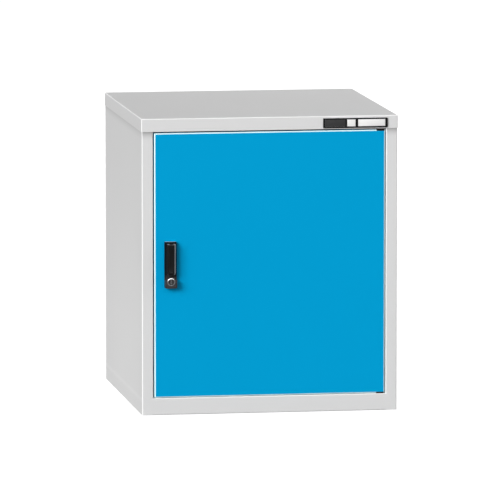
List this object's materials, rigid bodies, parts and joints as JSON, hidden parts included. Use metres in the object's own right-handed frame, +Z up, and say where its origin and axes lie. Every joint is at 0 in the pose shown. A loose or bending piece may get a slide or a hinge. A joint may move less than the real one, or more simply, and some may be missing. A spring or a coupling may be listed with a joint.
{
  "type": "workshop cabinet",
  "caption": "Sheet-steel workshop cabinet with a blue inset hinged door, swing handle with lock and lock rods, an adjustable shelf, a folded top cover and a label holder.",
  "frame": {"origin": "on the ground, in the middle of the four base holes, which is the middle of the cabinet's footprint", "axes": "+Z up, the door faces -Y, +X to the right of someone who stands in front of the door"},
  "size_m": [0.731, 0.7775, 0.84],
  "materials": {
    "grey_paint": "light grey fine-textured powder coat",
    "blue_paint": "light blue smooth powder coat",
    "black_plastic": "black fine-grained moulding",
    "chrome": "polished chrome plate",
    "zinc_steel": "zinc-plated steel",
    "rubber": "black rubber",
    "white_card": "plain white card"
  },
  "bodies": {
    "carcass": {"left_side_panel": "grey_paint", "right_side_panel": "grey_paint", "back_panel": "grey_paint", "floor_pan": "grey_paint", "rear_base_rail": "grey_paint", "left_base_runner": "grey_paint", "right_base_runner": "grey_paint", "base_nuts": "zinc_steel", "head_rail": "grey_paint", "rear_top_rail": "grey_paint", "top_cover": "grey_paint", "cover_screws": "zinc_steel", "front_left_shelf_rail": "grey_paint", "front_right_shelf_rail": "grey_paint", "rear_left_shelf_rail": "grey_paint", "rear_right_shelf_rail": "grey_paint", "shelf": "grey_paint", "shelf_clips": "zinc_steel", "upper_hinge_pin": "zinc_steel", "lower_hinge_pin": "zinc_steel", "upper_keeper": "zinc_steel", "lower_keeper": "zinc_steel", "door_stop": "grey_paint", "door_buffers": "rubber", "label_holder": "black_plastic", "label_cards": "white_card"},
    "door": {"door_skin": "blue_paint", "door_stiffener": "blue_paint", "upper_hinge_plate": "blue_paint", "lower_hinge_plate": "blue_paint", "upper_hinge_bush": "black_plastic", "lower_hinge_bush": "black_plastic", "handle_gasket": "rubber", "handle_base": "black_plastic", "handle_clamp": "zinc_steel", "handle_screws": "zinc_steel", "lock_cylinder": "chrome", "upper_rod_guide": "black_plastic", "lower_rod_guide": "black_plastic"},
    "spindle": {"spindle": "zinc_steel", "lever_pin": "zinc_steel", "rod_cam": "zinc_steel", "cam_screw": "zinc_steel"},
    "lever": {"lever": "black_plastic"},
    "key": {"key_plug": "chrome", "lock_tongue": "zinc_steel"},
    "upper_rod": {"upper_rod": "zinc_steel"},
    "lower_rod": {"lower_rod": "zinc_steel"}
  },
  "joints": [
    {"name": "door_swing", "type": "hinge", "parent": "carcass", "child": "door", "pos_m": [0.316, -0.3645, 0.424], "axis": [0, 0, 1], "range_deg": [0, 105]},
    {"name": "handle_turn", "type": "hinge", "parent": "door", "child": "spindle", "pos_m": [-0.284, -0.385, 0.4735], "axis": [0, -1, 0], "range_deg": [0, 90]},
    {"name": "lever_lift", "type": "hinge", "parent": "spindle", "child": "lever", "pos_m": [-0.284, -0.392, 0.4735], "axis": [-1, 0, 0], "range_deg": [0, 35]},
    {"name": "key_turn", "type": "hinge", "parent": "door", "child": "key", "pos_m": [-0.284, -0.396, 0.38], "axis": [0, -1, 0], "range_deg": [0, 90]},
    {"name": "upper_rod_slide", "type": "slide", "parent": "door", "child": "upper_rod", "axis": [0, 0, 1], "range_m": [-0.017, 0]},
    {"name": "lower_rod_slide", "type": "slide", "parent": "door", "child": "lower_rod", "axis": [0, 0, 1], "range_m": [0, 0.017]}
  ],
  "couplings": [
    {"joint": "upper_rod_slide", "follows": "handle_turn", "m_per_rad": -0.010804},
    {"joint": "lower_rod_slide", "follows": "handle_turn", "m_per_rad": 0.010804}
  ]
}
